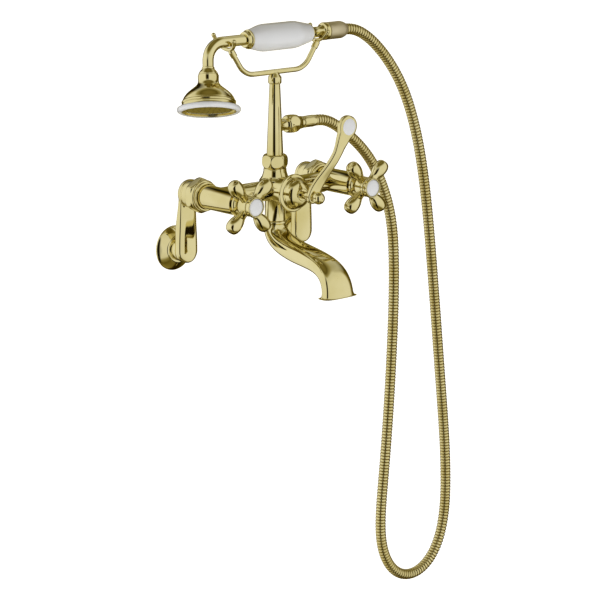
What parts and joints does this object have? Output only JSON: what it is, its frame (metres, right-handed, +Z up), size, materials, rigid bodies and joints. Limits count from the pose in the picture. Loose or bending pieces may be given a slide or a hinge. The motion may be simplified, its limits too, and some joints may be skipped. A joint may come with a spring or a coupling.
{
  "type": "bath shower mixer",
  "caption": "Wall-mounted bath shower mixer with cross handles, diverter lever, curved spout, cradle, ribbed hose and bell-shaped hand shower.",
  "frame": {"origin": "on the wall plane, midway between the two wall inlets", "axes": "+X to the right along the wall, +Y into the wall, +Z up"},
  "size_m": [0.4416, 0.1965, 0.7232],
  "materials": {
    "polished_brass": "polished",
    "satin_brass": "satin",
    "porcelain": "gloss",
    "ceramic_disc": "polished",
    "rubber": "matte"
  },
  "bodies": {
    "mixer": {"mixer_body": "polished_brass", "hot_union_nut": "polished_brass", "hot_cartridge": "polished_brass", "hot_bonnet_nut": "polished_brass", "hot_fixed_disc": "ceramic_disc", "hot_seat_seal": "rubber", "cold_union_nut": "polished_brass", "cold_cartridge": "polished_brass", "cold_bonnet_nut": "polished_brass", "cold_fixed_disc": "ceramic_disc", "cold_seat_seal": "rubber", "diverter_bonnet": "polished_brass", "diverter_seal": "rubber", "spout": "polished_brass", "spout_seal": "rubber", "riser": "polished_brass", "riser_nut": "polished_brass", "riser_washer": "rubber", "cradle_socket": "polished_brass", "cradle_bar": "polished_brass", "left_yoke": "polished_brass", "right_yoke": "polished_brass", "cradle_screw": "polished_brass", "hose": "polished_brass", "hose_outlet_washer": "rubber", "hose_outlet_nut": "polished_brass", "hose_outlet_ferrule": "polished_brass"},
    "hot_arm": {"hot_swing_arm": "polished_brass", "hot_wall_flange": "polished_brass", "hot_union_washer": "rubber"},
    "hot_valve": {"hot_handle": "polished_brass", "hot_stem": "polished_brass", "hot_moving_disc": "ceramic_disc", "hot_handle_screw": "polished_brass", "hot_index_cap": "polished_brass", "hot_index_button": "porcelain"},
    "cold_arm": {"cold_swing_arm": "polished_brass", "cold_wall_flange": "polished_brass", "cold_union_washer": "rubber"},
    "cold_valve": {"cold_handle": "polished_brass", "cold_stem": "polished_brass", "cold_moving_disc": "ceramic_disc", "cold_handle_screw": "polished_brass", "cold_index_cap": "polished_brass", "cold_index_button": "porcelain"},
    "diverter": {"diverter_plug": "polished_brass", "diverter_stem": "polished_brass", "diverter_lever": "polished_brass", "lever_ball_nut": "polished_brass", "lever_inset": "porcelain"},
    "hand_shower": {"handset_neck": "polished_brass", "shower_bell": "polished_brass", "bell_ring": "porcelain", "spray_plate": "polished_brass", "front_ferrule": "polished_brass", "grip": "porcelain", "grip_inner_tube": "polished_brass", "handset_tail": "polished_brass", "hose_handset_nut": "satin_brass", "hose_handset_washer": "rubber"}
  },
  "joints": [
    {"name": "hot_arm_swing", "type": "hinge", "parent": "mixer", "child": "hot_arm", "pos_m": [-0.089, -0.078, 0.069], "axis": [0, -1, 0], "range_deg": [-90, 40]},
    {"name": "hot_handle_turn", "type": "hinge", "parent": "mixer", "child": "hot_valve", "pos_m": [-0.089, -0.078, 0.069], "axis": [0, -1, 0], "range_deg": [0, 90]},
    {"name": "cold_arm_swing", "type": "hinge", "parent": "mixer", "child": "cold_arm", "pos_m": [0.089, -0.078, 0.069], "axis": [0, -1, 0], "range_deg": [-40, 90]},
    {"name": "cold_handle_turn", "type": "hinge", "parent": "mixer", "child": "cold_valve", "pos_m": [0.089, -0.078, 0.069], "axis": [0, -1, 0], "range_deg": [-90, 0]},
    {"name": "diverter_turn", "type": "hinge", "parent": "mixer", "child": "diverter", "pos_m": [0, -0.078, 0.069], "axis": [0, -1, 0], "range_deg": [-18, 72]},
    {"name": "hand_shower_lift", "type": "slide", "parent": "mixer", "child": "hand_shower", "axis": [0, 0, 1], "range_m": [0, 0.06], "deforming": ["hose"]}
  ]
}
